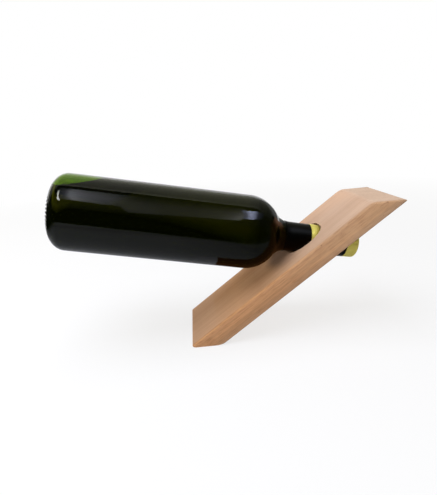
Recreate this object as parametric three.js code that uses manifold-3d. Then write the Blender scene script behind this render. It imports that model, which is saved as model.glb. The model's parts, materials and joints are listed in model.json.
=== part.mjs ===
// Balancing wine bottle holder: a leaning board with a slanted hole, and the full
// bottle whose weight keeps it standing. Millimetres, +Z up, origin in the middle
// of the board's foot on the table. X runs along the bottle, Y across the board.

import * as THREE from "three";
import { mergeVertices, toCreasedNormals } from "three/addons/utils/BufferGeometryUtils.js";
import Module from "manifold-3d";

const wasm = await Module();
wasm.setup();

// Board, measured on its front face and at its cut ends; its height is from toe to top cut.
const BOARD_LENGTH = 225;
const BOARD_WIDTH = 80;
const BOARD_THICKNESS = 20;
const BOARD_HEIGHT = 135;
const TOE_RISE = 1.3; // the toe is sanded up from the table by this
const TOE_LENGTH = 3.6; // over this length, level
const TOE_BLEND = 2; // radius from there into the flat of the foot
const HEEL_RADIUS = 21; // back edge of the foot
const BROW_RADIUS = 8; // front edge of the top cut
const EDGE_RADIUS = 0.6; // rim of both side faces
const TIP_SPARE = 0.1; // the two sharp corners, toe and top tip, are rounder than the rim

// Hole through the board, an oval that is longer across the board.
const HOLE_HEIGHT = 31.5; // square to the hole's own axis
const HOLE_WIDTH = 39.4;
const HOLE_PLACE = 156.3; // toe to hole centre, along the front face
const HOLE_ANGLE = THREE.MathUtils.degToRad(41.9); // away from square through the board

// Bottle glass, stations from the base.
const BODY_DIAMETER = 76.2;
const WALL = 3.4;
const BASE_CORNER = 12.4;
const BEARING_WIDTH = 3.2; // flat ring the bottle stands on
const PUNT_DEPTH = 20;
const PUNT_CROWN = 0.5; // how far the punt's top stays level, as a share of its radius
const PUNT_FLARE = 0.7; // where its flank turns out to the bearing ring, the same way
const BODY_LENGTH = 189.5; // base to the start of the shoulder
const SHOULDER_RADIUS = 35.7;
const NECK_FILLET = 20.5;
const NECK_LENGTH = 71.9; // end of the fillet to the lip
const NECK_ROOT_DIAMETER = 29.6;
const NECK_TOP_DIAMETER = 27.9;
const FINISH_HEIGHT = 17; // mouth ring, with the lip
const FINISH_DIAMETER = 30;
const LIP_DIAMETER = 29.2;
const LIP_RADIUS = 1.4;
const BORE_DIAMETER = 18.6;
const BORE_EASE = 0.7; // broken edge of the bore at the lip

// Filling and closure.
const HEADSPACE_DEPTH = 7; // air bubble under the raised corner of the base
const CORK_LENGTH = 45;
const CORK_SINK = 0.6; // cork top below the lip
const CORK_CHAMFER = 0.8;
const FILM = 0.3; // capsule thickness
const CAPSULE_DROP = 5.2; // neck root down to the skirt's lower edge, on the fillet
const CROWN_LENGTH = 15;
const BAND_START = 26; // from the skirt's lower edge
const BAND_WIDTH = 12;
const BAND_FOIL = 0.15;

// How the bottle sits in the hole.
const NECK_SEAT = 1.8; // neck root to the rim that the neck lies on, along the bottle
const SEAT_GAP = 0.3; // neck to the two rims that carry it
const FILL_GAP = 0.3; // wine and cork to the glass
const FILM_GAP = 0.15; // between glass, film and foil

// Fineness of the facets.
const ROUND_SEGMENTS = 48;
const ARC_STEPS = 4;
const EDGE_STEPS = 3;
const CREASE_ANGLE = 0.6; // radians; sharper edges stay hard
const WELD = 1e-3; // points closer than this are one point

function solidOf(geometry) {
  const bare = geometry.clone();
  bare.deleteAttribute("normal");
  bare.deleteAttribute("uv");
  const merged = mergeVertices(bare, WELD);
  const vertProperties = new Float32Array(merged.attributes.position.array);
  const triVerts = new Uint32Array(merged.index.array);
  return new wasm.Manifold(new wasm.Mesh({ numProp: 3, vertProperties, triVerts }));
}

function geometryOf(solid) {
  const mesh = solid.getMesh();
  const geometry = new THREE.BufferGeometry();
  geometry.setAttribute("position", new THREE.BufferAttribute(mesh.vertProperties, 3));
  geometry.setIndex(new THREE.BufferAttribute(mesh.triVerts, 1));
  return toCreasedNormals(geometry, CREASE_ANGLE);
}

function cutFrom(geometry, tool) {
  return geometryOf(solidOf(geometry).subtract(solidOf(tool)));
}

// A profile of radius and height, turned about Z.
function turned(points) {
  const geometry = new THREE.LatheGeometry(points, ROUND_SEGMENTS);
  geometry.rotateX(Math.PI / 2);
  return geometry;
}

function at(radius, height) {
  return new THREE.Vector2(radius, height);
}

// Side view of the board: X to the right, Y of the 2D plane is up.
const lean = Math.asin(BOARD_HEIGHT / BOARD_LENGTH);
const footLength = BOARD_THICKNESS / Math.sin(lean);
const along = new THREE.Vector2(Math.cos(lean), Math.sin(lean));
const inward = new THREE.Vector2(Math.sin(lean), -Math.cos(lean));
const toe = new THREE.Vector2(-footLength / 2, TOE_RISE);

function onBoard(place, depth) {
  return toe.clone().addScaledVector(along, place).addScaledVector(inward, depth);
}

function roundedShape(corners, radii) {
  const shape = new THREE.Shape();
  corners.forEach((corner, i) => {
    const before = corners.at(i - 1).clone().sub(corner).normalize();
    const after = corners[(i + 1) % corners.length].clone().sub(corner).normalize();
    const half = Math.acos(before.dot(after)) / 2;
    const start = corner.clone().addScaledVector(before, radii[i] / Math.tan(half));
    const middle = before.clone().add(after).normalize();
    const centre = corner.clone().addScaledVector(middle, radii[i] / Math.sin(half));
    const from = start.clone().sub(centre).angle();
    if (i === 0) {
      shape.moveTo(start.x, start.y);
    } else {
      shape.lineTo(start.x, start.y);
    }
    shape.absarc(centre.x, centre.y, radii[i], from, from + Math.PI - 2 * half, false);
  });
  return shape;
}

function boardGeometry() {
  const ball = toe.clone().add(new THREE.Vector2(TOE_LENGTH, -TOE_RISE));
  const heel = new THREE.Vector2(footLength / 2 - TOE_RISE / Math.tan(lean), 0);
  const brow = onBoard(BOARD_LENGTH, 0);
  const topTip = brow.clone().add(new THREE.Vector2(footLength, 0));
  const corners = [toe, ball, heel, topTip, brow];
  const tipRadius = EDGE_RADIUS + TIP_SPARE;
  const radii = [tipRadius, TOE_BLEND, HEEL_RADIUS, tipRadius, BROW_RADIUS];
  const blank = new THREE.ExtrudeGeometry(roundedShape(corners, radii), {
    depth: BOARD_WIDTH - 2 * EDGE_RADIUS,
    curveSegments: ARC_STEPS,
    bevelThickness: EDGE_RADIUS,
    bevelSize: EDGE_RADIUS,
    bevelOffset: -EDGE_RADIUS,
    bevelSegments: EDGE_STEPS,
  });
  blank.translate(0, 0, EDGE_RADIUS - BOARD_WIDTH / 2);
  blank.rotateX(Math.PI / 2);

  const centre = onBoard(HOLE_PLACE, BOARD_THICKNESS / 2);
  centre.addScaledVector(along, (BOARD_THICKNESS / 2) * Math.tan(HOLE_ANGLE));
  const endRadius = HOLE_HEIGHT / 2;
  const endPlace = HOLE_WIDTH / 2 - endRadius;
  const oval = new THREE.Shape();
  oval.absarc(0, endPlace, endRadius, 0, Math.PI, false);
  oval.absarc(0, -endPlace, endRadius, Math.PI, 2 * Math.PI, false);
  const cutterLength = 4 * (BOARD_THICKNESS + HOLE_HEIGHT);
  const cutter = new THREE.ExtrudeGeometry(oval, {
    depth: cutterLength,
    curveSegments: ROUND_SEGMENTS / 2,
    bevelEnabled: false,
  });
  cutter.translate(0, 0, -cutterLength / 2);
  cutter.rotateY(Math.PI / 2 - inward.angle() - HOLE_ANGLE);
  cutter.translate(centre.x, 0, centre.y);
  return cutFrom(blank, cutter);
}

// Bottle profile: base corner, body, shoulder arc, neck fillet, tapered neck, mouth ring.
const bodyRadius = BODY_DIAMETER / 2;
const neckRootRadius = NECK_ROOT_DIAMETER / 2;
const cornerCentre = bodyRadius - BASE_CORNER;
const puntRadius = cornerCentre - BEARING_WIDTH;
const arcSum = SHOULDER_RADIUS + NECK_FILLET;
const shoulderDrop = bodyRadius - neckRootRadius;
const shoulderLength = Math.sqrt(2 * arcSum * shoulderDrop - shoulderDrop ** 2);
const shoulderTurn = Math.atan2(shoulderLength, arcSum - shoulderDrop);
const neckRoot = BODY_LENGTH + shoulderLength;
const filletCentre = neckRootRadius + NECK_FILLET;
const filletStart = Math.PI + shoulderTurn;
const glassHeight = neckRoot + NECK_LENGTH;
const finishStart = glassHeight - FINISH_HEIGHT;
const ringStep = (FINISH_DIAMETER - NECK_TOP_DIAMETER) / 2;
const corkBottom = glassHeight - CORK_SINK - CORK_LENGTH;

// The neck lies on the hole's lower front rim and is held down by its upper back rim.
const holeHalf = HOLE_HEIGHT / 2 / Math.cos(HOLE_ANGLE);
const lowerRim = onBoard(HOLE_PLACE - holeHalf, 0);
const holeShift = BOARD_THICKNESS * Math.tan(HOLE_ANGLE);
const upperRim = onBoard(HOLE_PLACE + holeHalf + holeShift, BOARD_THICKNESS);
const widestNeck = Math.max(FINISH_DIAMETER, NECK_ROOT_DIAMETER) / 2 + FILM_GAP + FILM;
const seatRadius = widestNeck + SEAT_GAP;
const rimSpan = upperRim.clone().sub(lowerRim);
const heading = rimSpan.angle() - Math.asin((2 * seatRadius) / rimSpan.length());
const neckward = new THREE.Vector2(Math.cos(heading), Math.sin(heading));
const upright = new THREE.Vector2(-neckward.y, neckward.x);
const axisPoint = lowerRim.clone().addScaledVector(upright, seatRadius);

const base = axisPoint.clone().addScaledVector(neckward, -(neckRoot + NECK_SEAT));
const seat = new THREE.Matrix4().makeRotationY(Math.PI / 2 - heading);
seat.setPosition(base.x, 0, base.y);

// From the middle of the base to the neck root, moved inward by the given thickness.
function bodyPoints(inset) {
  const path = new THREE.Path();
  path.moveTo(0, PUNT_DEPTH + inset);
  const crown = [puntRadius * PUNT_CROWN, PUNT_DEPTH + inset];
  const flare = [puntRadius * PUNT_FLARE, inset];
  path.bezierCurveTo(...crown, ...flare, puntRadius, inset);
  path.lineTo(cornerCentre, inset);
  path.absarc(cornerCentre, BASE_CORNER, BASE_CORNER - inset, -Math.PI / 2, 0, false);
  path.lineTo(bodyRadius - inset, BODY_LENGTH);
  const shoulderCentre = bodyRadius - SHOULDER_RADIUS;
  path.absarc(shoulderCentre, BODY_LENGTH, SHOULDER_RADIUS - inset, 0, shoulderTurn, false);
  path.absarc(filletCentre, neckRoot, NECK_FILLET + inset, filletStart, Math.PI, true);
  const points = path.getPoints(ARC_STEPS);
  points[0].x = 0;
  return points.filter((p, i) => i === 0 || p.distanceTo(points[i - 1]) > WELD);
}

// Outside of the neck above the root, grown by the given thickness.
function neckPoints(grow) {
  const lipEase = LIP_RADIUS * (1 - Math.SQRT1_2);
  return [
    at(neckRootRadius + grow, neckRoot),
    at(NECK_TOP_DIAMETER / 2 + grow, finishStart - ringStep),
    at(FINISH_DIAMETER / 2 + grow, finishStart + ringStep),
    at(LIP_DIAMETER / 2 + grow, glassHeight - LIP_RADIUS),
    at(LIP_DIAMETER / 2 - lipEase + grow, glassHeight - lipEase + grow),
    at(LIP_DIAMETER / 2 - LIP_RADIUS, glassHeight + grow),
  ];
}

// The same from the start of the neck fillet.
function neckLine(grow) {
  const fillet = new THREE.Path();
  fillet.absarc(filletCentre, neckRoot, NECK_FILLET - grow, filletStart, Math.PI, true);
  return [...fillet.getPoints(ARC_STEPS).slice(0, -1), ...neckPoints(grow)];
}

function neckRadius(height, grow) {
  const points = neckLine(grow);
  const i = points.findIndex((p, k) => k > 0 && p.y >= height);
  const share = (height - points[i - 1].y) / (points[i].y - points[i - 1].y);
  return THREE.MathUtils.lerp(points[i - 1].x, points[i].x, share);
}

// Outside points of fillet and neck from one station to another, both ends included.
function neckStretch(from, to, grow) {
  const between = neckLine(grow).filter((p) => p.y > from + WELD && p.y < to - WELD);
  return [at(neckRadius(from, grow), from), ...between, at(neckRadius(to, grow), to)];
}

function glassGeometry() {
  const boreRadius = BORE_DIAMETER / 2;
  const outside = [...bodyPoints(0), ...neckPoints(0).slice(1)];
  const mouth = [
    at(boreRadius + BORE_EASE, glassHeight),
    at(boreRadius, glassHeight - BORE_EASE),
    at(boreRadius, corkBottom),
  ];
  const inside = bodyPoints(WALL).reverse();
  return turned([...outside, ...mouth, ...inside]);
}

function wineGeometry() {
  const surface = corkBottom - FILL_GAP;
  const filling = turned([
    ...bodyPoints(WALL + FILL_GAP),
    at(BORE_DIAMETER / 2 - FILL_GAP, surface),
    at(0, surface),
  ]);
  const cornerHeight = base.y + BASE_CORNER * neckward.y + cornerCentre * upright.y;
  const level = cornerHeight + BASE_CORNER - WALL - HEADSPACE_DEPTH;
  const reach = 4 * glassHeight;
  const air = new THREE.BoxGeometry(reach, reach, reach);
  air.translate(0, 0, level + reach / 2);
  air.applyMatrix4(seat.clone().invert());
  return cutFrom(filling, air);
}

function corkGeometry() {
  const radius = BORE_DIAMETER / 2 - FILL_GAP;
  const top = corkBottom + CORK_LENGTH;
  return turned([
    at(0, corkBottom),
    at(radius - CORK_CHAMFER, corkBottom),
    at(radius, corkBottom + CORK_CHAMFER),
    at(radius, top - CORK_CHAMFER),
    at(radius - CORK_CHAMFER, top),
    at(0, top),
  ]);
}

const capsuleTop = glassHeight + FILM_GAP + FILM;
const crownStart = capsuleTop - CROWN_LENGTH;
const skirtStart = neckRoot - CAPSULE_DROP;
const bandStart = skirtStart + BAND_START;

// A tube that follows the neck, closed on itself.
function sleeve(from, to, grow, thickness) {
  const outer = neckStretch(from, to, grow + thickness);
  const inner = neckStretch(from, to, grow).reverse();
  return turned([...outer, ...inner, outer[0]]);
}

function crownGeometry() {
  const outer = neckPoints(FILM_GAP + FILM).filter((p) => p.y > crownStart + WELD);
  const inner = neckPoints(FILM_GAP).filter((p) => p.y > crownStart + WELD);
  return turned([
    at(0, glassHeight + FILM_GAP),
    ...inner.reverse(),
    at(neckRadius(crownStart, FILM_GAP), crownStart),
    at(neckRadius(crownStart, FILM_GAP + FILM), crownStart),
    ...outer,
    at(0, capsuleTop),
  ]);
}

const group = new THREE.Group();
group.name = "balancing_bottle_holder";

function addPiece(name, geometry, color, roughness, metalness) {
  const material = new THREE.MeshStandardMaterial({ color, roughness, metalness });
  const mesh = new THREE.Mesh(geometry, material);
  mesh.name = name;
  group.add(mesh);
}

function addToBottle(name, geometry, color, roughness, metalness) {
  geometry.applyMatrix4(seat);
  addPiece(name, geometry, color, roughness, metalness);
}

addPiece("holder_board", boardGeometry(), 0xcda888, 0.6, 0);
addToBottle("bottle_glass", glassGeometry(), 0x2c3a12, 0.06, 0);
addToBottle("wine", wineGeometry(), 0x2a060c, 0.1, 0);
addToBottle("cork", corkGeometry(), 0xc49a6c, 0.9, 0);
const skirtEnd = crownStart - FILM_GAP;
addToBottle("capsule_skirt", sleeve(skirtStart, skirtEnd, FILM_GAP, FILM), 0x11110f, 0.45, 0);
const bandGrow = FILM_GAP + FILM + FILM_GAP;
const bandEnd = bandStart + BAND_WIDTH;
addToBottle("capsule_band", sleeve(bandStart, bandEnd, bandGrow, BAND_FOIL), 0xc9ba4e, 0.3, 1);
addToBottle("capsule_crown", crownGeometry(), 0xc9ba4e, 0.3, 1);

export default group;
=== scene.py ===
# Balancing wine bottle holder: a leaning beech board with a slanted hole, and the full
# bottle whose weight keeps it standing. Metres, +Z up, the board's foot on the floor.

import json
import math

import bmesh
import bpy
import numpy as np
from mathutils import Matrix


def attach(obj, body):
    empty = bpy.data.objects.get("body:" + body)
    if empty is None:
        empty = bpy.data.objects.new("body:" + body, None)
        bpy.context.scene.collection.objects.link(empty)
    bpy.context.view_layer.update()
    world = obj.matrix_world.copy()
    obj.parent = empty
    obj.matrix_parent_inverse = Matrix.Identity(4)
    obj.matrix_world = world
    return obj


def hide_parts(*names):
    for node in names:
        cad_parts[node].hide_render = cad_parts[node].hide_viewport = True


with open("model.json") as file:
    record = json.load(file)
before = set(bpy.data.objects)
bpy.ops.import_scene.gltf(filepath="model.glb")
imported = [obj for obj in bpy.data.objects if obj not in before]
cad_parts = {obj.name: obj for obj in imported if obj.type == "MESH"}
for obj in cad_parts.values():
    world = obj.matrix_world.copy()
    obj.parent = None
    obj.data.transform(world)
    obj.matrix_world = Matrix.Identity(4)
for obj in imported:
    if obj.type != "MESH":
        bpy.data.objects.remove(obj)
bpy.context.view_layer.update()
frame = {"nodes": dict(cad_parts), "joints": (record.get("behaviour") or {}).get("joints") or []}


# The view.
# A wide lens close to the holder, a little above the bottle and looking down on it,
# with the horizon a few degrees out of level.
EYE = (0.00103, -0.3517, 0.2099)
YAW = math.radians(-2.97)
LOOK_DOWN = math.radians(18.52)
ROLL = math.radians(-3.85)
FOCAL_MM = 25.77

scene = bpy.context.scene
scene.view_settings.view_transform = "Standard"
camera_data = bpy.data.cameras.new("camera")
camera_data.lens = FOCAL_MM
camera = bpy.data.objects.new("camera", camera_data)
scene.collection.objects.link(camera)
level = Matrix.Rotation(math.pi / 2 - LOOK_DOWN, 4, "X")
turn = Matrix.Rotation(YAW, 4, "Z")
camera.matrix_world = Matrix.Translation(EYE) @ turn @ level @ Matrix.Rotation(ROLL, 4, "Z")
scene.camera = camera


# The floor and the room.
# A white sweep that keeps a faint shadow near the holder, under an even white room.
FLOOR_HALF = 8.0
FLOOR_COLOUR = (0.9, 0.9, 0.9, 1)
FLOOR_LIFT = 0.72
SHADOW_REACH = 1.2
ROOM_LIGHT = 0.32
ROOM_WARM = (1.0, 0.92, 0.82, 1)
WHITE = (1, 1, 1, 1)


def put(tree, kind, inputs=(), **settings):
    """A shader node with its settings; each input is a plain value or another node's socket."""
    node = tree.nodes.new(kind)
    for name, value in settings.items():
        setattr(node, name, value)
    for socket, value in dict(inputs).items():
        if isinstance(value, bpy.types.NodeSocket):
            tree.links.new(value, node.inputs[socket])
        else:
            node.inputs[socket].default_value = value
    return node


def maths(tree, operation, first, second=0.0):
    """The result of one sum on two values or sockets."""
    return put(tree, "ShaderNodeMath", {0: first, 1: second}, operation=operation).outputs[0]


def seen_directly(tree):
    """1 for rays from the camera, or from a reflection or through glass, and 0 for others."""
    path = put(tree, "ShaderNodeLightPath").outputs
    mirrored = maths(tree, "MAXIMUM", path["Is Glossy Ray"], path["Is Transmission Ray"])
    return maths(tree, "MAXIMUM", path["Is Camera Ray"], mirrored)


def blank_material(name):
    """A material with nothing but its output node."""
    material = bpy.data.materials.new(name)
    material.use_nodes = True
    tree = material.node_tree
    tree.nodes.clear()
    output = put(tree, "ShaderNodeOutputMaterial")
    return material, tree, output


def object_place(tree):
    """Where a point lies in its object's own axes, in metres."""
    return put(tree, "ShaderNodeTexCoord").outputs["Object"]


def level_corners(x_range, y_range, height):
    """The four corners of a level rectangle, in order round it."""
    (x0, x1), (y0, y1) = x_range, y_range
    return [(x0, y0, height), (x1, y0, height), (x1, y1, height), (x0, y1, height)]


def sheet_mesh(name, corners):
    """A flat four-cornered sheet, which belongs to the room and not to the holder."""
    mesh = bpy.data.meshes.new(name)
    mesh.from_pydata(corners, [], [(0, 1, 2, 3)])
    sheet = bpy.data.objects.new(name, mesh)
    scene.collection.objects.link(sheet)
    return sheet


world = bpy.data.worlds.new("white_room")
world.use_nodes = True
scene.world = world
room_tree = world.node_tree
room_tree.nodes.clear()
room_light = put(room_tree, "ShaderNodeBackground", {"Color": ROOM_WARM, "Strength": ROOM_LIGHT})
room_seen = put(room_tree, "ShaderNodeBackground", {"Color": WHITE, "Strength": 1.0})
room_parts = {0: seen_directly(room_tree), 1: room_light.outputs[0], 2: room_seen.outputs[0]}
room = put(room_tree, "ShaderNodeMixShader", room_parts)
put(room_tree, "ShaderNodeOutputWorld", {"Surface": room.outputs[0]})

floor_material, tree, output = blank_material("white_sweep")
near_inputs = {"Vector": object_place(tree), "Scale": (1 / SHADOW_REACH,) * 3}
near = put(tree, "ShaderNodeMapping", near_inputs)
nearness = put(tree, "ShaderNodeTexGradient", {"Vector": near.outputs[0]}, gradient_type="SPHERICAL")
shadow_share = maths(tree, "MULTIPLY", nearness.outputs["Fac"], 1 - FLOOR_LIFT)
lift = maths(tree, "SUBTRACT", 1.0, shadow_share)
matt = put(tree, "ShaderNodeBsdfDiffuse", {"Color": FLOOR_COLOUR})
glow = put(tree, "ShaderNodeEmission", {"Color": WHITE, "Strength": 1.0})
seen_lift = maths(tree, "MULTIPLY", seen_directly(tree), lift)
floor_mix = put(tree, "ShaderNodeMixShader", {0: seen_lift, 1: matt.outputs[0], 2: glow.outputs[0]})
tree.links.new(floor_mix.outputs[0], output.inputs["Surface"])

floor_range = (-FLOOR_HALF, FLOOR_HALF)
floor = sheet_mesh("floor", level_corners(floor_range, floor_range, 0.0))
floor.data.materials.append(floor_material)


# The lamps and cards.
# Soft lamps overhead, in front and low at the left light the wood. What the dark glass
# mirrors is set apart from them, by bright windows, glowing panels and dark cards.
TOP_PLACE = (-0.36, -0.17, 1.05)
TOP_SIZE = (0.90, 0.95)
TOP_WATTS = 10.4
TOP_TINT = (1.0, 1.06, 1.20)
FRONT_PLACE = (0.0, -1.2, 0.35)
FRONT_SIZE = (1.0, 0.6)
FRONT_WATTS = 3.4
FRONT_TURN = (math.radians(80), 0, 0)
LEFT_PLACE = (-1.0, 0.10, 0.10)
LEFT_SIZE = (0.3, 0.5)
LEFT_WATTS = 6.5
LEFT_WARM = (1.0, 0.86, 0.62)
LEFT_TURN = (0, math.radians(-90), 0)
ROOF = 1.02
ROOM_TOP = 1.04
WIDE = (-3.0, 3.0)
FRONT_END = -1.6
BACK_END = 1.6
FAINT_GLOW = 0.02
COLD = (0.90, 0.92, 1.0, 1)
WINDOW_BLUE = (0.63, 0.69, 1.0, 1)
LEFT_TINT = (0.80, 0.82, 1.0, 1)
LEFT_END_TINT = (0.95, 0.97, 0.95, 1)
LEFT_PANEL = [(-0.27, -0.10), (0.03, -0.10), (-0.06, -0.87), (-0.37, -0.68)]
LEFT_FADE = (-0.035, 0.035)
LEFT_ALONG = [
    (-0.25, 0.45),
    (-0.222, 0.45),
    (-0.205, 0.62),
    (-0.186, 1.5),
    (-0.177, 2.4),
    (-0.168, 2.45),
    (-0.142, 1.68),
    (-0.110, 1.29),
    (-0.079, 1.0),
    (-0.035, 0.70),
    (0.0, 0.52),
    (0.035, 0.40),
]
LEFT_DEEP = [
    (-0.86, 0.5),
    (-0.76, 0.68),
    (-0.66, 0.8),
    (-0.55, 0.93),
    (-0.42, 1.0),
    (-0.27, 0.85),
    (-0.17, 0.62),
    (-0.10, 0.42),
]
LEFT_SLANT = 0.12
LEFT_WINDOW = [(-0.37, -0.25), (-0.272, -0.25), (-0.352, -0.80), (-0.41, -0.80)]
LEFT_WINDOW_HEIGHT = 1.018
LEFT_WINDOW_GLOW = 10.0
RIGHT_PANEL = [(-0.06, -0.10), (0.395, -0.10), (0.45, -0.98), (-0.13, -1.40)]
RIGHT_PANEL_HEIGHT = 1.025
RIGHT_ALONG = [
    (-0.06, 0.33),
    (0.02, 0.30),
    (0.09, 0.22),
    (0.22, 0.24),
    (0.33, 0.34),
    (0.38, 0.65),
    (0.41, 1.1),
]
RIGHT_DEEP = [
    (-1.40, 0.75),
    (-1.20, 0.9),
    (-0.70, 1.0),
    (-0.45, 0.85),
    (-0.25, 0.35),
    (-0.10, 0.2),
]
RIGHT_WINDOW = [(0.380, -0.20), (1.3, 0.02), (1.3, -0.62), (0.435, -0.78)]
WINDOW_ALONG = [
    (0.358, 0.9),
    (0.369, 1.3),
    (0.377, 1.9),
    (0.383, 4.6),
    (0.390, 5.9),
    (0.396, 6.0),
    (0.451, 4.5),
    (0.577, 2.0),
    (0.716, 0.42),
    (1.05, 0.15),
    (1.30, 0.03),
]
WINDOW_DEEP = [(-0.80, 0.95), (-0.50, 0.93), (-0.20, 1.1)]
WINDOW_SLANT = -0.095
ROOF_FRONT = 0.04
ROOF_ALONG = [(-3.0, 0.52), (0.15, 0.52), (0.45, 0.46), (0.90, 0.22), (1.60, 0.10), (3.0, 0.10)]
ROOF_TINT = (1.0, 1.0, 0.84, 1)
ROOF_DEEP = [(0.04, 1.0), (0.08, 1.0), (0.16, 0.62), (0.60, 0.76), (1.20, 1.15), (1.60, 1.3)]
CLOTH_HEIGHT = 0.0004
GREY_CLOTH = [(-0.6, -0.77), (0.10, -0.27), (0.10, 0.7), (-0.6, 0.7)]
CLOTH_ALONG = [
    (-0.60, 0.05),
    (-0.45, 0.20),
    (-0.33, 0.40),
    (-0.25, 0.38),
    (-0.19, 0.335),
    (-0.05, 0.30),
    (0.02, 0.22),
    (0.10, 0.13),
]
CLOTH_DEEP = [
    (-0.77, 0.85),
    (-0.42, 0.85),
    (-0.36, 0.70),
    (-0.30, 0.70),
    (-0.24, 0.95),
    (0.0, 1.0),
    (0.06, 1.25),
    (0.30, 1.4),
]
RIGHT_CLOTH = [(0.10, -0.30), (0.30, -0.12), (0.30, 0.05), (0.10, 0.05)]
RIGHT_CLOTH_GLOW = 0.12
DARK_CLOTH = ((0.10, 3.0), (-0.36, 0.03))
LEFT_CLOTH = ((-3.0, -0.6), (-0.36, 0.7))
BLACK_CLOTH_BACK = -0.27
BACK_FLAG_START = 0.9
BACK_FLAG_GLOW = 0.30


def card(name, corners, brightness, tint=WHITE):
    """A sheet of one even brightness that shows only in reflections."""
    material, tree, output = blank_material(name)
    glow = put(tree, "ShaderNodeEmission", {"Color": tint, "Strength": brightness})
    tree.links.new(glow.outputs[0], output.inputs["Surface"])
    sheet = sheet_mesh(name, corners)
    sheet.data.materials.append(material)
    sheet.visible_camera = False
    sheet.visible_diffuse = False
    sheet.visible_transmission = False
    sheet.visible_shadow = False
    return tree, glow


def level_card(name, ranges, height, brightness):
    """A card lying level at a height, over a range of X and a range of Y."""
    card(name, level_corners(*ranges, height), brightness)


def wall_card(name, start, end, brightness):
    """An upright card between two places on the floor, as high as the room."""
    foot = [(*start, 0), (*end, 0)]
    card(name, foot + [(*end, ROOM_TOP), (*start, ROOM_TOP)], brightness)


def output_of(tree):
    """The node that a material ends in."""
    return next(node for node in tree.nodes if node.type == "OUTPUT_MATERIAL")


def grey(value):
    """That grey as a colour."""
    return (value, value, value)


def stops(tree, fac, colours):
    """A colour ramp through (position, colour) pairs."""
    node = put(tree, "ShaderNodeValToRGB", {"Fac": fac})
    elements = node.color_ramp.elements
    while len(elements) < len(colours):
        elements.new(0.5)
    for element, (position, colour) in zip(elements, colours):
        element.position = position
        element.color = (*colour, 1)
    return node.outputs["Color"]


def level_curve(tree, value, pairs):
    """A value read off straight stretches between (place, level) pairs."""
    places, levels = zip(*pairs)
    low, width, peak = places[0], places[-1] - places[0], max(levels)
    span = {"Value": value, "From Min": low, "From Max": places[-1]}
    share = put(tree, "ShaderNodeMapRange", span).outputs[0]
    ramp = [((at - low) / width, grey(level / peak)) for at, level in pairs]
    return maths(tree, "MULTIPLY", stops(tree, share, ramp), peak)


def blended(tree, mode, fac, first, second):
    """Two colours mixed in a mode, by a share."""
    inputs = {0: fac, 6: first, 7: second}
    return put(tree, "ShaderNodeMix", inputs, data_type="RGBA", blend_type=mode).outputs[2]


def panel(name, corners, height, along_pairs, deep_pairs, tint=WHITE, slant=0.0):
    """A level card whose brightness is one curve along X, slanted by so much per Y, times
    another along Y."""
    tree, glow = card(name, [(x, y, height) for x, y in corners], 1.0, tint)
    where = put(tree, "ShaderNodeSeparateXYZ", {0: object_place(tree)}).outputs
    slanted = maths(tree, "SUBTRACT", where["X"], maths(tree, "MULTIPLY", where["Y"], slant))
    along = level_curve(tree, slanted, along_pairs)
    deep = level_curve(tree, where["Y"], deep_pairs)
    tree.links.new(maths(tree, "MULTIPLY", along, deep), glow.inputs["Strength"])
    return tree, glow, slanted


def soft_lamp(name, spot, size, watts, turn, tint=(1, 1, 1)):
    """A rectangular lamp that no surface mirrors, turned from facing straight down."""
    data = bpy.data.lights.new(name, "AREA")
    data.shape = "RECTANGLE"
    data.size, data.size_y = size
    data.energy = watts
    data.color = tint
    lamp = bpy.data.objects.new(name, data)
    lamp.location = spot
    lamp.rotation_euler = turn
    lamp.visible_glossy = False
    lamp.visible_transmission = False
    scene.collection.objects.link(lamp)


soft_lamp("top_lamp", TOP_PLACE, TOP_SIZE, TOP_WATTS, (0, 0, 0), TOP_TINT)
soft_lamp("front_lamp", FRONT_PLACE, FRONT_SIZE, FRONT_WATTS, FRONT_TURN)
soft_lamp("left_lamp", LEFT_PLACE, LEFT_SIZE, LEFT_WATTS, LEFT_TURN, LEFT_WARM)

left_curves = (LEFT_ALONG, LEFT_DEEP)
tree, glow, slanted = panel("left_panel", LEFT_PANEL, ROOF, *left_curves, LEFT_TINT, LEFT_SLANT)
tint_share = level_curve(tree, slanted, [(LEFT_ALONG[0][0], 0.0), (LEFT_ALONG[-1][0], 1.0)])
tree.links.new(blended(tree, "MIX", tint_share, LEFT_TINT, LEFT_END_TINT), glow.inputs["Color"])
fade = level_curve(tree, slanted, [(LEFT_FADE[0], 1.0), (LEFT_FADE[1], 0.0)])
clear = put(tree, "ShaderNodeBsdfTransparent")
faded = put(tree, "ShaderNodeMixShader", {0: fade, 1: clear.outputs[0], 2: glow.outputs[0]})
tree.links.new(faded.outputs[0], output_of(tree).inputs["Surface"])
card("left_window", [(x, y, LEFT_WINDOW_HEIGHT) for x, y in LEFT_WINDOW], LEFT_WINDOW_GLOW)
panel("right_panel", RIGHT_PANEL, RIGHT_PANEL_HEIGHT, RIGHT_ALONG, RIGHT_DEEP)
panel("right_window", RIGHT_WINDOW, ROOF, WINDOW_ALONG, WINDOW_DEEP, WINDOW_BLUE, WINDOW_SLANT)
level_card("dark_roof", (WIDE, (FRONT_END, ROOF_FRONT)), ROOM_TOP, FAINT_GLOW)
roof_corners = [corner[:2] for corner in level_corners(WIDE, (ROOF_FRONT, BACK_END), ROOF)]
panel("grey_roof", roof_corners, ROOF, ROOF_ALONG, ROOF_DEEP, ROOF_TINT)
panel("grey_cloth", GREY_CLOTH, CLOTH_HEIGHT, CLOTH_ALONG, CLOTH_DEEP, COLD)
card("right_cloth", [(x, y, CLOTH_HEIGHT) for x, y in RIGHT_CLOTH], RIGHT_CLOTH_GLOW, COLD)
level_card("dark_cloth", DARK_CLOTH, CLOTH_HEIGHT / 2, FAINT_GLOW)
level_card("left_cloth", LEFT_CLOTH, CLOTH_HEIGHT, 0.0)
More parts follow.
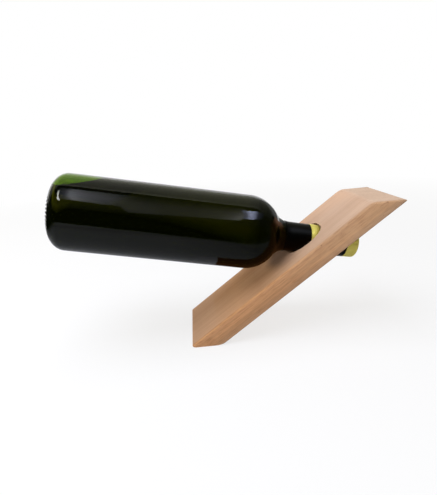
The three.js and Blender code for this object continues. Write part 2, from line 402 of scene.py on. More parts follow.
level_card("black_cloth", (WIDE, (FRONT_END, BLACK_CLOTH_BACK)), CLOTH_HEIGHT / 4, 0.0)
wall_card("front_flag", (WIDE[0], FRONT_END), (WIDE[1], FRONT_END), 0.0)
wall_card("back_flag", (BACK_FLAG_START, BACK_END), (WIDE[1], BACK_END), BACK_FLAG_GLOW)
for side, x in zip(("left", "right"), WIDE):
    wall_card(f"{side}_flag", (x, FRONT_END), (x, BACK_END), FAINT_GLOW)


# The beech board.
# One plank of beech, sawn at both ends level with the table, with a wide round heel, a
# softer brow and eased long edges, and an oval hole cut through it on a slant.
BOARD_LENGTH = 0.225
BOARD_WIDTH = 0.080
BOARD_THICKNESS = 0.020
BOARD_HEIGHT = 0.135
TOE_RISE = 0.0013
TOE_LENGTH = 0.0036
HEEL_RADIUS = 0.021
BROW_RADIUS = 0.014
TIP_RADIUS = 0.0007
FRONT_EASE = 0.0024
BACK_EASE = 0.0012
CORNER_EASE = 0.0007
TOP_EASE = 0.003
HOLE_HEIGHT = 0.0315
HOLE_WIDTH = 0.0394
HOLE_PLACE = 0.1563
HOLE_ANGLE = math.radians(41.9)
HOLE_EASE = 0.0006
EDGE_MARGIN = 0.0004
LONG_STEPS = 96
SHORT_STEPS = 40
CORNER_STEPS = 6
DEPTH_ROWS = 56
EASE_ROWS = 5
WALL_ROWS = 8
FACE_SPREAD = [0.0, 0.02, 0.10, 0.25, 0.5, 0.75, 1.0]
TINY = 1e-6
WELD = 1e-7

lean = math.asin(BOARD_HEIGHT / BOARD_LENGTH)
foot_length = BOARD_THICKNESS / math.sin(lean)
board_along = np.array([math.cos(lean), 0, math.sin(lean)])
board_inward = np.array([math.sin(lean), 0, -math.cos(lean)])
board_toe = np.array([-foot_length / 2, 0, TOE_RISE])
ACROSS = np.array([0.0, 1.0, 0.0])


def on_board(place, across, depth):
    """Toe, plus so far up the slope, so far across and so deep below the front face."""
    place, across, depth = (np.asarray(v, float)[..., None] for v in (place, across, depth))
    return board_toe + place * board_along + across * ACROSS + depth * board_inward


def arc_height(offset, radius):
    """Height of a circle over its middle line, that far along it."""
    return np.sqrt(np.clip(radius**2 - offset**2, 0, None))


def lower_edge(depth):
    """Where the board starts at a depth: the level foot cut below the toe, a short bevel up
    to the toe, and rounds at toe and heel."""
    foot = (depth * math.cos(lean) - TOE_RISE) / math.sin(lean)
    wedge = lean + math.atan2(TOE_RISE, TOE_LENGTH)
    edge = np.maximum(depth / math.tan(wedge), foot)
    toe_arc = TIP_RADIUS / math.tan(wedge / 2) - arc_height(depth - TIP_RADIUS, TIP_RADIUS)
    edge = np.where(depth < TIP_RADIUS * (1 + math.cos(wedge)), toe_arc, edge)
    heel_depth = BOARD_THICKNESS - HEEL_RADIUS
    heel_place = (HEEL_RADIUS - TOE_RISE + math.cos(lean) * heel_depth) / math.sin(lean)
    heel_arc = heel_place - arc_height(depth - heel_depth, HEEL_RADIUS)
    heel_start = heel_depth + HEEL_RADIUS * math.cos(lean)
    return np.where(depth > heel_start, heel_arc, edge)


def upper_edge(depth):
    """Where the board ends at a depth: the level top cut, with rounds at brow and tip."""
    turned_depth = BOARD_THICKNESS - depth
    slope = 1 / math.tan(lean)
    edge = BOARD_LENGTH + depth * slope
    brow_place = BOARD_LENGTH - BROW_RADIUS * (1 - math.cos(lean)) / math.sin(lean)
    brow_arc = brow_place + arc_height(depth - BROW_RADIUS, BROW_RADIUS)
    edge = np.where(depth < BROW_RADIUS * (1 - math.cos(lean)), brow_arc, edge)
    grow = (1 + math.cos(lean)) / math.sin(lean)
    tip_place = BOARD_LENGTH + BOARD_THICKNESS * slope - TIP_RADIUS * grow
    tip_arc = tip_place + arc_height(turned_depth - TIP_RADIUS, TIP_RADIUS)
    return np.where(turned_depth < TIP_RADIUS * (1 + math.cos(lean)), tip_arc, edge)


def half_width(depth):
    """Half the board's width at a depth, with both long edges eased to quarter rounds."""
    front = np.clip(FRONT_EASE - depth, 0, None)
    back = np.clip(BACK_EASE - (BOARD_THICKNESS - depth), 0, None)
    front_loss = FRONT_EASE - arc_height(front, FRONT_EASE)
    back_loss = BACK_EASE - arc_height(back, BACK_EASE)
    return BOARD_WIDTH / 2 - front_loss - back_loss


def rectangle_steps():
    """Once round a rectangle: for each sample its share of the half sides, and the way
    its corner round pushes it out. Samples lie closer near the corners, as a sine."""
    corner = np.linspace(0, np.pi / 2, CORNER_STEPS)
    shares, pushes = [], []
    long_run = np.sin(np.linspace(-np.pi / 2, np.pi / 2, LONG_STEPS + 2)[1:-1])
    short_run = np.sin(np.linspace(-np.pi / 2, np.pi / 2, SHORT_STEPS + 2)[1:-1])
    for quarter, run in enumerate((short_run, long_run, short_run, long_run)):
        turn = quarter * np.pi / 2
        spin = np.array([[np.cos(turn), np.sin(turn)], [-np.sin(turn), np.cos(turn)]]).round()
        side = np.stack([np.ones_like(run), run], 1)
        shares += [side @ spin, np.ones((CORNER_STEPS, 2)) @ spin]
        outward = np.stack([np.cos(corner), np.sin(corner)], 1)
        pushes += [np.tile([1.0, 0.0], (len(run), 1)) @ spin, outward @ spin]
    return np.vstack(shares), np.vstack(pushes)


def board_points():
    """Rows of points that start in the hole, spread over the front face, go round the
    edges from front to back as rectangles at growing depth, and close into the hole. The
    hole is two half rounds joined by flats, met along each bearing from its centre."""
    shares, pushes = rectangle_steps()
    depths = BOARD_THICKNESS * (1 - np.cos(np.linspace(0, np.pi, DEPTH_ROWS))) / 2
    low, high, half = lower_edge(depths), upper_edge(depths), half_width(depths)
    middle, reach = (low + high) / 2, (high - low) / 2

    def rectangle(k, inset=0.0):
        """The outline at one depth, its two top corners eased less with depth squared."""
        top_ease = TOP_EASE * (1 - (depths[k] / BOARD_THICKNESS) ** 2)
        corner_ease = CORNER_EASE + (shares[:, 0] > 0) * top_ease
        place = middle[k] + shares[:, 0] * (reach[k] - corner_ease - inset)
        across = shares[:, 1] * (half[k] - corner_ease - inset)
        return np.stack([place, across], 1) + pushes * corner_ease[:, None]

    outline = rectangle(0)
    stretch = 1 / math.cos(HOLE_ANGLE)
    bearing = np.arctan2(outline[:, 1], (outline[:, 0] - HOLE_PLACE) / stretch)
    up, side = np.abs(np.cos(bearing)), np.abs(np.sin(bearing))
    end_place = (HOLE_WIDTH - HOLE_HEIGHT) / 2

    def hole(depth, grow):
        """The hole's outline, moved up the slope by the depth times the slant's tangent."""
        radius = HOLE_HEIGHT / 2 + grow
        flat_reach = radius / np.maximum(up, TINY)
        round_reach = end_place * side + np.sqrt(radius**2 - (end_place * up) ** 2)
        reach = np.where(flat_reach * side < end_place, flat_reach, round_reach)
        shift = HOLE_PLACE + depth * math.tan(HOLE_ANGLE)
        return np.stack([shift + reach * stretch * np.cos(bearing), reach * np.sin(bearing)], 1)

    def laid(flat, depth):
        """A flat outline's points at a depth."""
        return on_board(flat[:, 0], flat[:, 1], depth)

    def face(depth, k):
        """Rows that spread from the hole's rim to the outline."""
        inner, outer = hole(depth, HOLE_EASE), rectangle(k, EDGE_MARGIN)
        return [laid(inner * (1 - share) + outer * share, depth) for share in FACE_SPREAD]

    def rim(face_depth, way):
        """Rows of the rim's quarter round, from the hole's wall out to a face."""
        turn = np.linspace(0, np.pi / 2, EASE_ROWS)[:-1]
        rim_depths = face_depth + way * HOLE_EASE * (1 - np.sin(turn))
        grown = HOLE_EASE * (1 - np.cos(turn))
        return [laid(hole(depth, grow), depth) for depth, grow in zip(rim_depths, grown)]

    back = BOARD_THICKNESS
    rows = rim(0.0, 1)
    rows += face(0.0, 0)
    rows += [laid(rectangle(k), depth) for k, depth in enumerate(depths)]
    rows += face(back, len(depths) - 1)[::-1]
    rows += rim(back, -1)[::-1]
    wall_depths = np.linspace(back - HOLE_EASE - EDGE_MARGIN, HOLE_EASE + EDGE_MARGIN, WALL_ROWS)
    rows += [laid(hole(depth, 0.0), depth) for depth in wall_depths]
    return np.array(rows)


def skin(name, points, ring):
    """A mesh over rows of points, each row closed on itself. With ring the last row also
    joins the first. Points that meet, as at a pole, become one."""
    rows, columns = points.shape[:2]
    index = np.arange(rows * columns).reshape(rows, columns)
    if ring:
        index = np.vstack([index, index[:1]])
    beside = np.roll(index, -1, axis=1)
    quads = np.stack([index[:-1], beside[:-1], beside[1:], index[1:]], axis=-1)
    mesh = bpy.data.meshes.new(name)
    mesh.from_pydata(points.reshape(-1, 3).tolist(), [], quads.reshape(-1, 4).tolist())
    work = bmesh.new()
    work.from_mesh(mesh)
    bmesh.ops.remove_doubles(work, verts=work.verts, dist=WELD)
    bmesh.ops.recalc_face_normals(work, faces=work.faces)
    work.to_mesh(mesh)
    work.free()
    mesh.polygons.foreach_set("use_smooth", np.ones(len(mesh.polygons), bool))
    piece = bpy.data.objects.new(name, mesh)
    scene.collection.objects.link(piece)
    return piece


def principled(name, inputs=()):
    """A material with one surface shader, some of its inputs set to plain values."""
    material, tree, output = blank_material(name)
    surface = put(tree, "ShaderNodeBsdfPrincipled", inputs)
    tree.links.new(surface.outputs[0], output.inputs["Surface"])
    return material, tree, surface


def grain(tree, place, scale, detail=4.0, roughness=0.55):
    """Noise over the given coordinates, so many times per metre each way."""
    stretched = put(tree, "ShaderNodeMapping", {"Vector": place, "Scale": scale})
    inputs = {"Vector": stretched.outputs[0], "Scale": 1.0, "Detail": detail}
    inputs["Roughness"] = roughness
    return put(tree, "ShaderNodeTexNoise", inputs).outputs["Fac"]


def measured(tree, place, way, start):
    """How far a place lies past a starting point, along a way: the difference of their
    dot products with it."""
    inputs = {0: place, 1: tuple(way)}
    reach = put(tree, "ShaderNodeVectorMath", inputs, operation="DOT_PRODUCT").outputs["Value"]
    return maths(tree, "SUBTRACT", reach, float(start @ way))


def shared(tree, mask, other, most=1.0):
    """Two masks multiplied, up to a greatest share."""
    return maths(tree, "MULTIPLY", maths(tree, "MULTIPLY", mask, other), most)


def bumped(tree, surface, height, strength, depth):
    """Relief on a surface from a height, so deep in metres and at a strength."""
    inputs = {"Height": height, "Strength": strength, "Distance": depth}
    bump = put(tree, "ShaderNodeBump", inputs)
    tree.links.new(bump.outputs[0], surface.inputs["Normal"])


BEECH_PALE = (0.745, 0.520, 0.365)
BEECH_ROSE = (0.660, 0.430, 0.285)
BROAD_GRAIN = (4, 55, 40)
BROAD_TONES = [(0.32, BEECH_PALE), (0.72, BEECH_ROSE)]
STREAK_GRAIN = (14, 700, 700)
STREAK_TONES = [(0.30, grey(0.86)), (0.62, grey(1.0))]
STREAK_SHARE = 0.8
STREAK_SHEEN = [(0.3, grey(0.62)), (0.7, grey(0.50))]
PORE_GRAIN = (260, 3600, 3600)
PORE_MASK = [(0.60, grey(0.0)), (0.74, grey(1.0))]
PORE_TINT = (0.72, 0.62, 0.52, 1)
PORE_SHARE = 0.55
PORE_RELIEF = -0.6
WOOD_BUMP = (0.25, 0.0002)
SIDE_EDGE = (0.0042, 0.0010)
SIDE_TINT = (0.83, 0.715, 0.56, 1)
# Painted shade on the sides' eased front edge, painted light just below it, darker towards the back.
SIDE_PAINTED_LIGHT_SHADE = [(0.0, 0.92), (0.0025, 1.05), (0.006, 1.07), (0.011, 1.0), (0.0165, 0.89), (0.019, 0.82)]
SIDE_FOOT = (0.90, 0.80, 0.675)
SIDE_RISE = [(0.40, SIDE_FOOT), (0.80, grey(1.0))]
BACK_DEPTH = [(0.0125, 0.0), (0.019, 1.0)]
BACK_GREY = (0.96, 1.02, 1.14, 1)
RIBBON_GRAIN = (9, 300, 420)
RIBBON_TONES = [(0.36, grey(0.87)), (0.62, grey(1.05))]
FLECK_GRAIN = (85, 800, 1500)
FLECK_MASK = [(0.52, grey(0.0)), (0.66, grey(1.0))]
FLECK_TINT = (0.60, 0.47, 0.36, 1)
FLECK_SHARE = 0.5
SPECK_GRAIN = (420, 900, 900)
SPECK_MASK = [(0.80, grey(0.0)), (0.84, grey(1.0))]
SPECK_TINT = (0.25, 0.17, 0.12, 1)
SPECK_SHARE = 0.8
END_EDGE = (0.0012, 0.0002)
# Painted light: the level end cut is painted lighter.
END_PAINTED_LIGHT = (1.07, 1.10, 1.11, 1)
FACE_DEPTH = [(0.001, 1.0), (0.006, 0.0)]
# Painted shade on the front face: darker towards the foot and in a band under the bottle.
FACE_PAINTED_SHADE = [
    (0.05, (0.69, 0.62, 0.55)),
    (0.16, (0.76, 0.68, 0.59)),
    (0.29, (0.80, 0.70, 0.575)),
    (0.41, (0.66, 0.58, 0.48)),
    (0.54, (0.72, 0.66, 0.59)),
    (0.70, (0.88, 0.85, 0.81)),
    (0.88, grey(0.95)),
    (1.0, grey(1.0)),
]
SHADE_ENDS = (-0.004, 0.034, 0.232)
SHADE_GAP = 0.0006
SHADE_TINT = (0.70, 0.27, 0.08, 1)
SHADE_PALE = (0.70, 0.40, 0.28, 1)
SHADE_LEVEL = 0.11
SHADE_ALONG = [(-0.012, 0.0), (0.003, 0.24), (0.022, 0.62)]
SHADE_RISE = [(0.100, 0.0), (0.116, 1.0)]
SHADE_PALING = 1.6
FOOT_SHADE = 0.30

half_board = BOARD_WIDTH / 2
board_top = BOARD_HEIGHT + TOE_RISE
beech, tree, surface = principled("beech_wood", {"Specular IOR Level": 0.4})
place = object_place(tree)
where = put(tree, "ShaderNodeSeparateXYZ", {0: place}).outputs
off_middle = maths(tree, "ABSOLUTE", where["Y"])
below_face = measured(tree, place, board_inward, board_toe)
rise_share = level_curve(tree, where["Z"], [(0.0, 0.0), (board_top, 1.0)])
side_edge = [(half_board - SIDE_EDGE[0], 0.0), (half_board - SIDE_EDGE[1], 1.0)]
side_mask = level_curve(tree, off_middle, side_edge)
end_edge = [(board_top - END_EDGE[0], 0.0), (board_top - END_EDGE[1], 1.0)]
end_mask = level_curve(tree, where["Z"], end_edge)

# The grain runs up the slope: broad bands, fine streaks and short dark pores.
sloped = put(tree, "ShaderNodeMapping", {"Vector": place, "Rotation": (0, lean, 0)}).outputs[0]
wood = stops(tree, grain(tree, sloped, BROAD_GRAIN), BROAD_TONES)
streaks = grain(tree, sloped, STREAK_GRAIN, detail=6.0)
wood = blended(tree, "MULTIPLY", STREAK_SHARE, wood, stops(tree, streaks, STREAK_TONES))
pores = grain(tree, sloped, PORE_GRAIN, detail=2.0)
pore_share = maths(tree, "MULTIPLY", stops(tree, pores, PORE_MASK), PORE_SHARE)
wood = blended(tree, "MULTIPLY", pore_share, wood, PORE_TINT)

# The sides show the beech's flecks and specks, with painted shade on the eased front edge and painted
# light just below it, and darken to the back. The end cut is painted lighter: painted light on the
# top.
wood = blended(tree, "MULTIPLY", side_mask, wood, SIDE_TINT)
wood = blended(tree, "MULTIPLY", side_mask, wood, level_curve(tree, below_face, SIDE_PAINTED_LIGHT_SHADE))
back_share = shared(tree, level_curve(tree, below_face, BACK_DEPTH), side_mask)
wood = blended(tree, "MULTIPLY", back_share, wood, BACK_GREY)
ribbons = stops(tree, grain(tree, sloped, RIBBON_GRAIN, detail=3.0), RIBBON_TONES)
wood = blended(tree, "MULTIPLY", side_mask, wood, ribbons)
flecks = stops(tree, grain(tree, sloped, FLECK_GRAIN, detail=1.0), FLECK_MASK)
wood = blended(tree, "MULTIPLY", shared(tree, flecks, side_mask, FLECK_SHARE), wood, FLECK_TINT)
specks = stops(tree, grain(tree, sloped, SPECK_GRAIN, detail=0.0), SPECK_MASK)
wood = blended(tree, "MULTIPLY", shared(tree, specks, side_mask, SPECK_SHARE), wood, SPECK_TINT)
wood = blended(tree, "MULTIPLY", end_mask, wood, END_PAINTED_LIGHT)

# Painted shade: the front face is darker and browner towards the foot and in a band halfway up, under
# the bottle. The sides are darker and browner towards the foot.
front_share = level_curve(tree, below_face, FACE_DEPTH)
painted_face_shade = blended(tree, "MIX", front_share, WHITE, stops(tree, rise_share, FACE_PAINTED_SHADE))
painted_shade_and_tone = blended(tree, "MIX", side_mask, painted_face_shade, stops(tree, rise_share, SIDE_RISE))
wood = blended(tree, "MULTIPLY", 1.0, wood, painted_shade_and_tone)
tree.links.new(wood, surface.inputs["Base Color"])
tree.links.new(stops(tree, streaks, STREAK_SHEEN), surface.inputs["Roughness"])
relief = maths(tree, "ADD", maths(tree, "MULTIPLY", pores, PORE_RELIEF), streaks)
bumped(tree, surface, relief, *WOOD_BUMP)


def painted_reflection_card(name, low, high, tint, brightness):
    """A card a hair in front of the board's face, between two places up the slope, that stands in for
    the face in reflections: a painted reflection.
    """
    spots = [(low, -half_board), (low, half_board), (high, half_board), (high, -half_board)]
    return card(name, [tuple(on_board(p, a, -SHADE_GAP)) for p, a in spots], brightness, tint)


# Painted reflection: what the bottle mirrors of the face is painted dim and brown, as painted shade,
# and paler high up at its far side.
painted_reflection_card("foot_shade", SHADE_ENDS[0], SHADE_ENDS[1], COLD, FOOT_SHADE)
tree, glow = painted_reflection_card("board_shade", SHADE_ENDS[1], SHADE_ENDS[2], SHADE_TINT, 1.0)
where = put(tree, "ShaderNodeSeparateXYZ", {0: object_place(tree)}).outputs
shade_along = level_curve(tree, where["Y"], SHADE_ALONG)
shade_more = maths(tree, "MULTIPLY", shade_along, level_curve(tree, where["Z"], SHADE_RISE))
paling = maths(tree, "MULTIPLY", shade_more, SHADE_PALING)
tree.links.new(blended(tree, "MIX", paling, SHADE_TINT, SHADE_PALE), glow.inputs["Color"])
tree.links.new(maths(tree, "ADD", shade_more, SHADE_LEVEL), glow.inputs["Strength"])

board = skin("beech_board", board_points(), ring=True)
board.data.materials.append(beech)
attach(board, "holder")
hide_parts("holder_board")


# The bottle glass.
# A moulded green wine bottle: a bearing ring with a fine knurl round a deep punt, a straight
# body, a round shoulder, a filleted neck and a mouth ring. It lies by its neck in the hole.
BODY_RADIUS = 0.0381
WALL = 0.0034
BASE_CORNER = 0.0124
BEARING_WIDTH = 0.0032
PUNT_DEPTH = 0.020
BODY_LENGTH = 0.1895
SHOULDER_RADIUS = 0.0357
NECK_FILLET = 0.0205
NECK_ROOT = 0.0148
NECK_TOP = 0.01395
NECK_LENGTH = 0.0719
MOUTH_RING = 0.015
MOUTH_HEIGHT = 0.017
LIP = 0.0146
LIP_ROUND = 0.0014
BORE = 0.0093
BORE_EASE = 0.0007
CORK_SINK = 0.0006
CORK_LENGTH = 0.045
KNURL_COUNT = 54
KNURL_DEPTH = 0.0010
KNURL_RADIUS = 0.0292
KNURL_REACH = 0.0052
HEEL_REACH = 0.0195
HEEL_CURVE = 3.7
PUNT_POWER = 1.15
PUNT_ROWS = 16
RING_ROWS = 3
CORNER_ROWS = 22
BODY_ROWS = 20
SHOULDER_ROWS = 26
FILLET_ROWS = 16
TAPER_ROWS = 4
MOUTH_ROWS = 7
GLASS_COLUMNS = 378

pull = np.array(frame["joints"][0]["axis"], float)
neckward = -pull / np.linalg.norm(pull)
upright = np.cross(neckward, ACROSS)
glass_co = np.array([v.co for v in frame["nodes"]["bottle_glass"].data.vertices])
axis_point = glass_co.mean(0) * (1, 0, 1)
base_centre = axis_point + neckward * ((glass_co - axis_point) @ neckward).min()

shoulder_drop = BODY_RADIUS - NECK_ROOT
arc_sum = SHOULDER_RADIUS + NECK_FILLET
shoulder_length = math.sqrt(2 * arc_sum * shoulder_drop - shoulder_drop**2)
shoulder_turn = math.atan2(shoulder_length, arc_sum - shoulder_drop)
neck_root = BODY_LENGTH + shoulder_length
glass_height = neck_root + NECK_LENGTH
cork_bottom = glass_height - CORK_SINK - CORK_LENGTH


def on_bottle(radius, angle, station):
    """Base centre, plus so far up the axis, and so far out at an angle from upright."""
    radius, angle, station = (np.asarray(v, float)[..., None] for v in (radius, angle, station))
    outward = np.cos(angle) * upright + np.sin(angle) * ACROSS
    return base_centre + station * neckward + radius * outward


def arc(radius_at, station_at, radius, start, end, steps):
    """Points of a circle in the profile's plane, from one angle to another in radians."""
    angle = np.linspace(start, end, steps)
    return np.stack([radius_at + radius * np.cos(angle), station_at + radius * np.sin(angle)], 1)


def line(first, last, steps):
    """Points of a straight stretch, closer near its two ends and without them."""
    share = (1 - np.cos(np.linspace(0, np.pi, steps + 2)))[1:-1, None] / 2
    return np.array(first) * (1 - share) + np.array(last) * share


def fillet_profile(grow):
    """The hollow arc from the shoulder to the neck root, grown by a film."""
    turn = np.pi + shoulder_turn
    return arc(NECK_ROOT + NECK_FILLET, neck_root, NECK_FILLET - grow, turn, np.pi, FILLET_ROWS)


def body_profile(inset):
    """From the middle of the base to the neck root, moved inward by a wall: a punt that
    falls as a cosine, a flat ring, a corner arc, the body, shoulder arc and neck fillet."""
    corner_at = BODY_RADIUS - BASE_CORNER
    punt_radius = corner_at - BEARING_WIDTH
    share = np.linspace(0, 1, PUNT_ROWS)
    fall = (1 + np.cos(np.pi * share**PUNT_POWER)) / 2
    punt = np.stack([punt_radius * share, inset + PUNT_DEPTH * fall], 1)
    corner = arc(corner_at, BASE_CORNER, BASE_CORNER - inset, -np.pi / 2, 0, CORNER_ROWS)
    ring = line(punt[-1], corner[0], RING_ROWS)
    shoulder_at = BODY_RADIUS - SHOULDER_RADIUS
    shoulder_round = SHOULDER_RADIUS - inset
    shoulder = arc(shoulder_at, BODY_LENGTH, shoulder_round, 0, shoulder_turn, SHOULDER_ROWS)
    body = line(corner[-1], shoulder[0], BODY_ROWS)
    return np.vstack([punt, ring, corner, body, shoulder, fillet_profile(-inset)[1:]])


def neck_profile(grow):
    """Outside of the neck above its root, grown by a film: a taper, a mouth ring, a lip."""
    ring_start = glass_height - MOUTH_HEIGHT
    step = MOUTH_RING - NECK_TOP
    taper = line((NECK_ROOT + grow, neck_root), (NECK_TOP + grow, ring_start - step), TAPER_ROWS)
    swell_share = np.linspace(0, 1, MOUTH_ROWS)
    swell = NECK_TOP + step * (1 - np.cos(np.pi * swell_share)) / 2
    ring = np.stack([swell + grow, ring_start + step * (2 * swell_share - 1)], 1)
    lip_place = (LIP - LIP_ROUND, glass_height - LIP_ROUND)
    lip = arc(*lip_place, LIP_ROUND + grow, 0, np.pi / 2, MOUTH_ROWS)
    return np.vstack([taper, ring, line(ring[-1], lip[0], RING_ROWS), lip])


angles = np.linspace(0, 2 * np.pi, GLASS_COLUMNS, endpoint=False)
outside = np.vstack([body_profile(0), neck_profile(0)])
bore_edge = [(BORE + BORE_EASE, glass_height), (BORE, glass_height - BORE_EASE)]
inside = body_profile(WALL)[::-1]
profile = np.vstack([outside, bore_edge, [(BORE, cork_bottom)], inside])
knurled = np.clip(1 - ((profile[:, 0] - KNURL_RADIUS) / KNURL_REACH) ** 2, 0, 1)
knurled *= (np.arange(len(profile)) < len(outside)) & (profile[:, 1] < BASE_CORNER)
ridge = (1 - np.cos(KNURL_COUNT * angles)) / 2
sunk = KNURL_DEPTH * np.sqrt(knurled)[:, None] * ridge[None, :]
heel_start = HEEL_REACH - BASE_CORNER
heel_sink = np.clip(HEEL_REACH - outside[:, 1], 0, heel_start) ** 2 * HEEL_CURVE / 2
heel_sink += np.clip(BASE_CORNER - outside[:, 1], 0, None) * heel_start * HEEL_CURVE
heel_sink *= outside[:, 0] > BODY_RADIUS - BASE_CORNER
profile[:len(outside), 0] -= heel_sink
glass_points = on_bottle(profile[:, :1] + 0 * sunk, angles[None, :] + 0 * sunk, profile[:, 1:] + sunk)
glass = skin("green_glass_bottle", glass_points, ring=False)

GLASS_TINT = (0.56, 0.68, 0.05, 1)
GLASS_DEPTH_TINT = (0.36, 0.55, 0.0, 1)
GLASS_DENSITY = 290.0
GLASS_FINISH = {
    "Base Color": GLASS_TINT,
    "Transmission Weight": 0.999,
    "IOR": 1.5,
    "Specular IOR Level": 0.3,
    "Roughness": 0.03,
}
RIPPLE_GRAIN = (22, 22, 22)
RIPPLE_BUMP = (0.08, 0.002)
green, tree, surface = principled("green_glass", GLASS_FINISH)
ripple = grain(tree, object_place(tree), RIPPLE_GRAIN, detail=1.0)
bumped(tree, surface, ripple, *RIPPLE_BUMP)
depth_inputs = {"Color": GLASS_DEPTH_TINT, "Density": GLASS_DENSITY}
depth = put(tree, "ShaderNodeVolumeAbsorption", depth_inputs)
tree.links.new(depth.outputs[0], output_of(tree).inputs["Volume"])
glass.data.materials.append(green)
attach(glass, "bottle")
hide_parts("bottle_glass")


# The wine.
# Dark red wine up to a level surface that leaves an air bubble under the raised corner of
# the base. It wets the glass, so its skin lies a hair inside the wall.
WET = 0.0004
HEADSPACE = 0.0061
WINE_GAP = 0.0003
WINE_STEP = 0.004
WINE_COLUMNS = 360
corner_at = BODY_RADIUS - BASE_CORNER
level_z = (
    base_centre[2]
    + BASE_CORNER * neckward[2]
    + corner_at * upright[2]
    + BASE_CORNER
    - WALL
    - HEADSPACE
)


def wine_points():
    """The inner wall's profile carried round the axis, with the radius cut where the
    level surface comes first: the height over the axis, over the lift per radius."""
    wall = body_profile(WALL - WET)
    wine_end = cork_bottom - WINE_GAP
    wall = np.vstack([wall, [(BORE - WINE_GAP, wine_end), (0.0, wine_end)]])
    around = np.linspace(0, 2 * np.pi, WINE_COLUMNS, endpoint=False)
    fine = [wall[:1]]
    for first, last in zip(wall[:-1], wall[1:]):
        steps = max(1, int(np.linalg.norm(last - first) / WINE_STEP))
        fine += [line(first, last, steps - 1), [last]]
    fine = np.vstack(fine)
    room_above = level_z - base_centre[2] - fine[:, 1:] * neckward[2]
    lift = np.clip(np.cos(around) * upright[2], TINY, None)[None, :]
    cut = np.where(np.cos(around) > TINY, room_above / lift, BODY_RADIUS)
    radius = np.minimum(fine[:, :1], cut)
    return on_bottle(radius, around[None, :] + 0 * radius, fine[:, 1:] + 0 * radius)


WINE_BLACK = (0.003, 0.002, 0.001, 1)
# Painted light: the olive glow painted on the wine.
WINE_PAINTED_GLOW = (0.78, 0.46, 0.22, 1)
OLIVE_ALONG = [
    (0.0, 1.0),
    (0.006, 1.0),
    (0.009, 0.25),
    (0.0105, 0.21),
    (0.02, 0.16),
    (0.035, 0.102),
    (0.05, 0.089),
    (0.09, 0.051),
    (0.126, 0.086),
    (0.163, 0.110),
    (0.184, 0.092),
    (0.191, 0.050),
    (0.197, 0.012),
]
OLIVE_END = 0.165
OLIVE_LOW = 0.71
OLIVE_DIP = [
    (0.0, 0.0),
    (0.006, 0.05),
    (0.009, 0.48),
    (0.013, 0.54),
    (0.018, 0.47),
    (0.024, 0.40),
    (0.20, 0.40),
]
OLIVE_DROP = 0.33
OLIVE_SOFT = (0.16, 0.22)
OLIVE_TOP = [(0.0, 1.2), (0.006, 1.2), (0.009, 0.60), (0.055, 0.55), (0.11, 1.2), (0.20, 1.2)]
OLIVE_TOP_SOFT = 0.10
wine = skin("red_wine_filling", wine_points(), ring=False)
red, tree, surface = principled("red_wine", {"Roughness": 0.08, "Specular IOR Level": 0.05})
place = object_place(tree)
station = measured(tree, place, neckward, base_centre)
height = measured(tree, place, upright / BODY_RADIUS, base_centre)

# Painted light: the wine is painted olive in a band along its upper half, where light would come down
# through the wall, with a painted glint under the base's corner. The band widens as the cube of the
# way to the shoulder.
along = maths(tree, "DIVIDE", maths(tree, "MAXIMUM", station, 0.0), OLIVE_END)
cubed = maths(tree, "POWER", along, 3.0)
drop = maths(tree, "MULTIPLY", cubed, OLIVE_DROP)
dip = maths(tree, "ADD", level_curve(tree, station, OLIVE_DIP), drop)
over = maths(tree, "ADD", maths(tree, "SUBTRACT", height, OLIVE_LOW), dip)
soft = maths(tree, "ADD", maths(tree, "MULTIPLY", cubed, OLIVE_SOFT[1]), OLIVE_SOFT[0])
lit = put(tree, "ShaderNodeClamp", {0: maths(tree, "DIVIDE", over, soft)}).outputs[0]
room = maths(tree, "SUBTRACT", level_curve(tree, station, OLIVE_TOP), height)
below = put(tree, "ShaderNodeClamp", {0: maths(tree, "DIVIDE", room, OLIVE_TOP_SOFT)}).outputs[0]
painted_glow = maths(tree, "MULTIPLY", level_curve(tree, station, OLIVE_ALONG), below)
share = maths(tree, "MULTIPLY", lit, painted_glow)
tree.links.new(blended(tree, "MIX", share, WINE_BLACK, WINE_PAINTED_GLOW), surface.inputs["Base Color"])
wine.data.materials.append(red)
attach(wine, "bottle")
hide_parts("wine")


# The cork.
# A natural cork with chamfered ends, pressed into the bore just below the lip.
CORK_GAP = 0.0003
CORK_CHAMFER = 0.0008
CORK_ROWS = 12
CORK_COLUMNS = 96


def turned(name, profile, columns, ring=False):
    """Each point of a profile, radius and station, carried once round the bottle's axis."""
    around = np.linspace(0, 2 * np.pi, columns, endpoint=False)[None, :]
    spread = np.zeros((len(profile), columns))
    points = on_bottle(profile[:, :1] + spread, around + spread, profile[:, 1:] + spread)
    return skin(name, points, ring)


cork_radius = BORE - CORK_GAP
cork_top = cork_bottom + CORK_LENGTH
flat_end = cork_radius - CORK_CHAMFER
cork_profile = np.vstack([
    [(0.0, cork_bottom), (flat_end, cork_bottom)],
    line((cork_radius, cork_bottom + CORK_CHAMFER), (cork_radius, cork_top - CORK_CHAMFER), CORK_ROWS),
    [(flat_end, cork_top), (0.0, cork_top)],
])
cork = turned("wine_cork", cork_profile, CORK_COLUMNS)
CORK_LIGHT = (0.62, 0.42, 0.24)
CORK_DARK = (0.30, 0.17, 0.08)
CORK_GRAIN = (600, 600, 600)
CORK_TONES = [(0.38, CORK_DARK), (0.55, CORK_LIGHT)]
cork_material, tree, surface = principled("natural_cork", {"Roughness": 0.85})
grains = grain(tree, object_place(tree), CORK_GRAIN, detail=5.0)
tree.links.new(stops(tree, grains, CORK_TONES), surface.inputs["Base Color"])
cork.data.materials.append(cork_material)
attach(cork, "bottle")
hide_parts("cork")


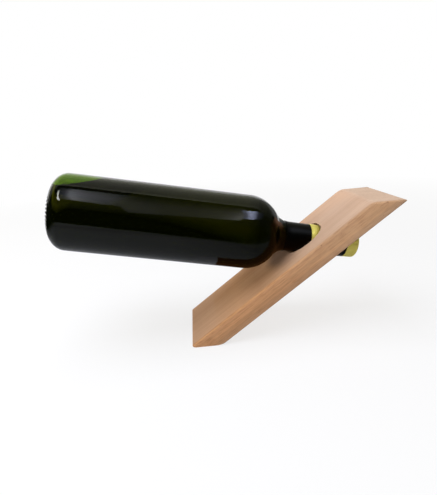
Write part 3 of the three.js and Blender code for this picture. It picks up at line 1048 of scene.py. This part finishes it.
# The capsule skirt.
# A shrunk black film sleeve on the neck, from the end of the fillet to the crown.
FILM = 0.0003
FILM_GAP = 0.00015
CAPSULE_DROP = 0.0052
CROWN_LENGTH = 0.015
CAPSULE_COLUMNS = 192
capsule_top = glass_height + FILM_GAP + FILM
crown_start = capsule_top - CROWN_LENGTH
skirt_start = neck_root - CAPSULE_DROP


def neck_stretch(start, end, grow):
    """The outside of fillet and neck between two stations, its ends worked out on its line."""
    whole = np.vstack([fillet_profile(grow), neck_profile(grow)])
    inner = whole[(whole[:, 1] > start + TINY) & (whole[:, 1] < end - TINY)]
    ends = np.interp([start, end], whole[:, 1], whole[:, 0])
    return np.vstack([[(ends[0], start)], inner, [(ends[1], end)]])


def sleeve_profile(start, end, grow, thickness):
    """A closed tube section that follows the neck: outside up, inside down."""
    outer = neck_stretch(start, end, grow + thickness)
    inner = neck_stretch(start, end, grow)
    return np.vstack([outer, inner[::-1]])


skirt_profile = sleeve_profile(skirt_start, crown_start - FILM_GAP, FILM_GAP, FILM)
skirt = turned("capsule_skirt_film", skirt_profile, CAPSULE_COLUMNS, ring=True)
FILM_BLACK = (0.0004, 0.0004, 0.0003, 1)
FILM_GLEAM = (1.0, 0.98, 0.78, 1)
FILM_FINISH = {
    "Base Color": FILM_BLACK,
    "Specular IOR Level": 0.24,
    "Specular Tint": FILM_GLEAM,
    "Roughness": 0.38,
}
CREASE_GRAIN = (90, 90, 90)
CREASE_BUMP = (0.15, 0.0004)
black, tree, surface = principled("capsule_black", FILM_FINISH)
creases = grain(tree, object_place(tree), CREASE_GRAIN, detail=3.0)
bumped(tree, surface, creases, *CREASE_BUMP)
skirt.data.materials.append(black)
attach(skirt, "bottle")
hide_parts("capsule_skirt")


# The gold band.
# A printed foil ring on the skirt, which shows at the top of the hole.
BAND_START = 0.026
BAND_WIDTH = 0.012
BAND_FOIL = 0.00015
band_start = skirt_start + BAND_START
band_grow = FILM_GAP + FILM + FILM_GAP
band_profile = sleeve_profile(band_start, band_start + BAND_WIDTH, band_grow, BAND_FOIL)
band = turned("capsule_band_foil", band_profile, CAPSULE_COLUMNS, ring=True)
GOLD = (0.84, 0.73, 0.16, 1)
RUB_GRAIN = (160, 160, 160)
RUB_SHEEN = [(0.3, grey(0.28)), (0.7, grey(0.44))]
RUB_BUMP = (0.2, 0.0003)


def gold_foil(name, hem=None):
    """Greenish yellow metal foil with faint smoothing marks, printed black up to a station
    if it has a hem."""
    material, tree, surface = principled(name, {"Base Color": GOLD, "Metallic": 0.5})
    place = object_place(tree)
    if hem:
        station = measured(tree, place, neckward, base_centre)
        past = maths(tree, "GREATER_THAN", station, hem)
        tree.links.new(blended(tree, "MIX", past, FILM_BLACK, GOLD), surface.inputs["Base Color"])
    rub = grain(tree, place, RUB_GRAIN)
    tree.links.new(stops(tree, rub, RUB_SHEEN), surface.inputs["Roughness"])
    bumped(tree, surface, rub, *RUB_BUMP)
    return material


band.data.materials.append(gold_foil("capsule_gold"))
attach(band, "bottle")
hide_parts("capsule_band")


# The gold crown.
# The capsule's foil cap, drawn over the mouth ring and the lip, with a black printed hem.
CROWN_HEM = 0.0028
TOP_SPARE = 1e-5
outer = neck_stretch(crown_start, capsule_top - TOP_SPARE, FILM_GAP + FILM)[:-1]
inner = neck_stretch(crown_start, glass_height + FILM_GAP - TOP_SPARE, FILM_GAP)[:-1]
crown_profile = np.vstack([
    [(0.0, glass_height + FILM_GAP)],
    inner[::-1],
    outer,
    [(0.0, capsule_top)],
])
crown = turned("capsule_crown_foil", crown_profile, CAPSULE_COLUMNS)
crown.data.materials.append(gold_foil("crown_gold", crown_start + CROWN_HEM))
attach(crown, "bottle")
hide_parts("capsule_crown")
